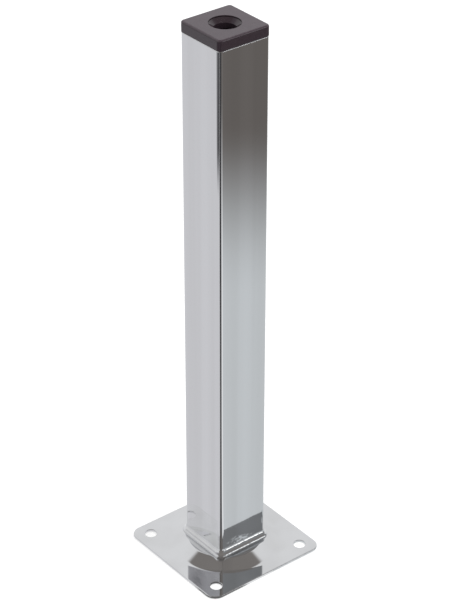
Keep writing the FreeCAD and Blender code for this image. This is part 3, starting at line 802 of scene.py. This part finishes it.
class LEG_OT_cap(Operator):
    """Moulded foot cap with its dished hole, hollow shank and grip ribs"""

    bl_idname = "table_leg.cap"
    bl_label = "End cap"

    ROUND_POINTS = 96
    EDGE_STEPS = 8
    SEAM_STEPS = 4
    MOUTH_STEPS = 5
    # Bevel of the shank's inner edge.
    SHANK_EASE = 0.0002
    # Where down its top edge the head is rubbed most, and how fast that fades, as shares of the edge.
    RUB_PEAK = 0.3
    RUB_FADE = 1.6
    MOUTH_RUB = 0.5

    def execute(self, context):
        sizes = context.scene.leg_sizes
        rib = new_piece("rib_pattern", self.rib_mesh(sizes))
        cap = new_piece("end_cap_moulding", self.head_mesh(sizes))
        run_tree(cap, self.rib_tree(), cap_plastic(context.scene.leg_finish), {
            "Rib": rib,
            "Ribs": sizes.rib_count,
            "First": sizes.tube_top - sizes.rib_first,
            "Pitch": -sizes.rib_pitch,
        })
        bpy.data.objects.remove(rib)
        take_place(cap, "end_cap")
        return {"FINISHED"}

    def head_mesh(self, sizes):
        """Head, dished hole, hollow and shank as one closed skin, its rubbed edges and the dish wall's
        painted shade marked.
        """
        mesh = bmesh.new()
        rubbed = mesh.verts.layers.float.new("rubbed")
        sheltered = mesh.verts.layers.float.new("sheltered")
        edge, top, end = sizes.cap_edge, sizes.cap_top, sizes.tube_top
        upper, lower = (top, edge, self.EDGE_STEPS), (end, sizes.cap_seam, self.SEAM_STEPS)
        top_edge, under_edge = loft(mesh, block_sides(
            sizes.cap_width / 2, sizes.cap_corner, upper, lower, sizes.corner_steps))
        for vert in mesh.verts:
            drop = (top - vert.co.z) / edge
            if drop < 1.0:
                vert[rubbed] = max(0.0, 1.0 - abs(drop - self.RUB_PEAK) * self.RUB_FADE)

        mouth, bore, lip = sizes.dish_diameter / 2, sizes.bore_diameter / 2, sizes.dish_edge
        deep, under_lip = top - sizes.dish_depth, top - sizes.dish_lip
        ease = lip / 3
        outline = [(mouth + lip * (1 - across), top - lip * down)
                   for across, down in quarter_arc(self.MOUTH_STEPS)]
        outline += [(mouth, under_lip + ease), (mouth - ease, under_lip)]
        outline += [(bore + ease, deep + ease / 2), (bore, deep - ease), (bore, end)]
        mouth_edge, bore_edge = loft(mesh, [circle(*point, self.ROUND_POINTS) for point in outline])
        # Marks the dish's wall, where painted shade darkens the colour.
        for vert in mesh.verts:
            if bore + ease / 2 < vert.co.xy.length < mouth + lip / 2:
                vert[sheltered] = 1.0
        for vert in mouth_edge:
            vert[rubbed] = self.MOUTH_RUB
        fill_flat(mesh, top_edge, mouth_edge)

        shank, corner, wall = sizes.shank_half, sizes.shank_corner, sizes.shank_wall
        inner, inner_corner = shank - wall, corner - wall / 2
        low, lead, ease = sizes.cap_low, sizes.shank_lead, self.SHANK_EASE
        shank_top, ceiling = loft(mesh, [rounded_square(*ring, sizes.corner_steps) for ring in (
            (shank, corner, end),
            (shank, corner, low + lead),
            (shank - lead, corner - lead, low),
            (inner + ease, inner_corner + ease, low),
            (inner, inner_corner, low + ease),
            (inner, inner_corner, end),
        )])
        fill_flat(mesh, under_edge, shank_top)
        fill_flat(mesh, ceiling, bore_edge)
        return mesh

    @staticmethod
    def rib_mesh(sizes):
        """One grip rib with its upper face at zero, sunk a little into the shank."""
        mesh = bmesh.new()
        thick, corner, tip = sizes.rib_thickness, sizes.shank_corner, sizes.rib_half
        root, root_corner = sizes.shank_half - sizes.shank_wall / 2, corner - sizes.shank_wall / 2
        ease = thick / 5
        first, last = loft(mesh, [rounded_square(*ring, sizes.corner_steps) for ring in (
            (root, root_corner, 0.0),
            (tip - ease, corner - ease, 0.0),
            (tip, corner, -ease),
            (tip, corner, ease - thick),
            (tip - ease, corner - ease, -thick),
            (root, root_corner, -thick),
        )])
        bridge(mesh, last, first)
        return mesh

    @staticmethod
    def rib_tree():
        """Sets the ribs down the shank at an even pitch."""
        tree, given = new_tree("GripRibs", [
            ("Rib", "Object"), ("Ribs", "Int"), ("First", "Float"), ("Pitch", "Float"),
        ])
        shape = add_node(tree, "GeometryNodeObjectInfo", {"Object": given["Rib"]}).outputs["Geometry"]
        row = output_of(tree, "GeometryNodeMeshLine", {
            "Count": given["Ribs"],
            "Start Location": upright(tree, given["First"]),
            "Offset": upright(tree, given["Pitch"]),
        })
        ribs = set_copies(tree, row, shape)
        return end_tree(tree, given, weld(tree, join(tree, ribs, given["Geometry"])))


class LEG_OT_stage(Operator):
    """Floor, soft light and the camera"""

    bl_idname = "table_leg.stage"
    bl_label = "Stage"

    def execute(self, context):
        stage = context.scene.leg_stage
        context.scene.view_settings.view_transform = "Standard"
        self.set_camera(context, stage)
        self.lay_floor(stage)
        self.light_world(context, stage)
        self.hang_lamps(context, stage)
        return {"FINISHED"}

    @staticmethod
    def set_camera(context, stage):
        """Camera at the picture's angle."""
        data = bpy.data.cameras.new("camera")
        data.lens = stage.lens
        camera = bpy.data.objects.new("camera", data)
        context.scene.collection.objects.link(camera)
        around, up = stage.azimuth, stage.elevation
        back = Vector((math.sin(around) * math.cos(up), -math.cos(around) * math.cos(up), math.sin(up)))
        camera.location = Vector((0.0, 0.0, stage.aim)) + back * stage.distance
        camera.rotation_euler = (-back).to_track_quat("-Z", "Y").to_euler()
        context.scene.camera = camera

    @staticmethod
    def bearing(tree, vector, stage):
        """Bearing of a place or a direction in degrees: nought towards the camera, ninety to its right."""
        turn = stage.azimuth
        side, front = (math.cos(turn), math.sin(turn), 0.0), (math.sin(turn), -math.cos(turn), 0.0)
        across, ahead = (measure(tree, "DOT_PRODUCT", vector, way) for way in (side, front))
        return compute(tree, "DEGREES", compute(tree, "ARCTAN2", across, ahead))

    @staticmethod
    def between(tree, value, first, last, soft):
        """One between two limits and nought outside them, with soft sides."""
        after = soft_step(tree, value, first - soft, first + soft)
        before = soft_step(tree, value, last - soft, last + soft, low=1.0, high=0.0)
        return compute(tree, "MULTIPLY", after, before)

    @staticmethod
    def in_mirror(tree, path):
        """One for a ray that comes from polished metal or through something clear."""
        return compute(tree, "MAXIMUM", path["Is Glossy Ray"], path["Is Transmission Ray"])

    def floor_view(self, tree, stage, place, distance):
        """Colour of the floor as polished metal mirrors it."""
        bearing = self.bearing(tree, place, stage)
        seen = mix_colours(tree, stage.floor_left, stage.floor_right, self.between(tree, bearing, 0, 180, 1))
        for name, first, last, soft, start, fade in FLOOR_PATCHES:
            beyond = soft_step(tree, distance, start - fade, start + fade)
            area = compute(tree, "MULTIPLY", self.between(tree, bearing, first, last, soft), beyond)
            seen = mix_colours(tree, seen, getattr(stage, name), area)
        return seen

    def room_view(self, tree, stage, path):
        """Colour of the room as polished metal mirrors it."""
        way = tree.nodes.new("ShaderNodeTexCoord").outputs["Generated"]
        bearing = self.bearing(tree, way, stage)
        height = add_node(tree, "ShaderNodeSeparateXYZ", {"Vector": way}).outputs["Z"]
        lift = compute(tree, "DEGREES", compute(tree, "ARCSINE", height))
        images = {"all": 1.0, "first": compute(tree, "LESS_THAN", path["Glossy Depth"], SECOND_IMAGE)}
        seen = stage.back_wall
        for name, first, last, soft, low, high, fade, shown in ROOM_PATCHES:
            across = self.between(tree, bearing, first, last, soft)
            area = compute(tree, "MULTIPLY", across, self.between(tree, lift, low, high, fade))
            seen = mix_colours(
                tree, seen, getattr(stage, name), compute(tree, "MULTIPLY", area, images[shown]))
        return seen

    def lay_floor(self, stage):
        """White floor that keeps the shadow, and is clear from below."""
        mesh = bmesh.new()
        half = stage.floor
        mesh.faces.new(add_ring(mesh, [(x * half, y * half, -stage.floor_drop)
                                       for x, y in ((-1, -1), (1, -1), (1, 1), (-1, 1))]))
        floor = new_piece("studio_floor", mesh)
        material = bpy.data.materials.new("pale_floor")
        tree, surface = start_tree(material, "ShaderNodeOutputMaterial")
        path = tree.nodes.new("ShaderNodeLightPath").outputs
        place = tree.nodes.new("ShaderNodeTexCoord").outputs["Object"]
        distance = measure(tree, "LENGTH", place)
        seen = self.floor_view(tree, stage, place, distance)
        mirrored = output_of(tree, "ShaderNodeEmission", {"Color": seen})
        matt = output_of(tree, "ShaderNodeBsdfDiffuse", {"Color": (*stage.floor_matt, 1.0)})
        level = soft_step(tree, distance, stage.glow_start, stage.glow_end, stage.glow_near, stage.glow_far)
        strength = compute(tree, "MULTIPLY", path["Is Camera Ray"], level)
        glow = output_of(tree, "ShaderNodeEmission", {"Strength": strength})
        plain = output_of(tree, "ShaderNodeAddShader", {0: matt, 1: glow})
        upper = mix_shaders(tree, self.in_mirror(tree, path), plain, mirrored)
        clear = output_of(tree, "ShaderNodeBsdfTransparent")
        from_below = tree.nodes.new("ShaderNodeNewGeometry").outputs["Backfacing"]
        tree.links.new(mix_shaders(tree, from_below, upper, clear), surface)
        floor.data.materials.append(material)

    def light_world(self, context, stage):
        """White for the camera, an even soft fill, and a bright back with a dark front for polished metal."""
        world = bpy.data.worlds.new("studio")
        context.scene.world = world
        tree, surface = start_tree(world, "ShaderNodeOutputWorld")
        path = tree.nodes.new("ShaderNodeLightPath").outputs
        seen = self.room_view(tree, stage, path)
        fill, mirrored, white_sky = (
            output_of(tree, "ShaderNodeBackground", {"Color": tone, "Strength": power})
            for tone, power in ((WHITE, stage.fill), (seen, 1.0), (WHITE, 1.0)))
        light = mix_shaders(tree, self.in_mirror(tree, path), fill, mirrored)
        tree.links.new(mix_shaders(tree, path["Is Camera Ray"], light, white_sky), surface)

    @staticmethod
    def hang_lamps(context, stage):
        """One broad lamp overhead, a little to the right, and a weaker one on the left."""
        for name, place, width, power in LAMPS:
            data = bpy.data.lights.new(name, "AREA")
            data.shape = "DISK"
            data.size = width
            data.energy = power
            lamp = bpy.data.objects.new(name, data)
            context.scene.collection.objects.link(lamp)
            lamp.location = place
            towards = Vector((0.0, 0.0, stage.aim)) - Vector(place)
            lamp.rotation_euler = towards.to_track_quat("-Z", "Y").to_euler()
            lamp.visible_glossy = False


class LEG_PT_panel(Panel):
    """Lists the leg's pieces and settings"""

    bl_idname = "LEG_PT_panel"
    bl_label = "Table Leg"
    bl_space_type = "VIEW_3D"
    bl_region_type = "UI"
    bl_category = "Table Leg"

    def draw(self, context):
        layout = self.layout
        for operator in OPERATORS:
            layout.operator(operator.bl_idname)
        for group in (context.scene.leg_sizes, context.scene.leg_finish, context.scene.leg_stage):
            box = layout.box()
            for name in group.__annotations__:
                box.prop(group, name)


OPERATORS = (LEG_OT_tube, LEG_OT_plate, LEG_OT_cap, LEG_OT_stage)
CLASSES = (LegSizes, LegFinish, LegStage, *OPERATORS, LEG_PT_panel)


def register():
    """Adds the classes and the scene's settings."""
    for item in CLASSES:
        bpy.utils.register_class(item)
    bpy.types.Scene.leg_sizes = PointerProperty(type=LegSizes)
    bpy.types.Scene.leg_finish = PointerProperty(type=LegFinish)
    bpy.types.Scene.leg_stage = PointerProperty(type=LegStage)


def unregister():
    """Takes the settings and classes out again."""
    del bpy.types.Scene.leg_stage
    del bpy.types.Scene.leg_finish
    del bpy.types.Scene.leg_sizes
    for item in reversed(CLASSES):
        bpy.utils.unregister_class(item)


def main():
    """Builds the leg and its stage."""
    register()
    bpy.ops.table_leg.tube()
    bpy.ops.table_leg.plate()
    bpy.ops.table_leg.cap()
    bpy.ops.table_leg.stage()


if __name__ == "__main__":
    main()
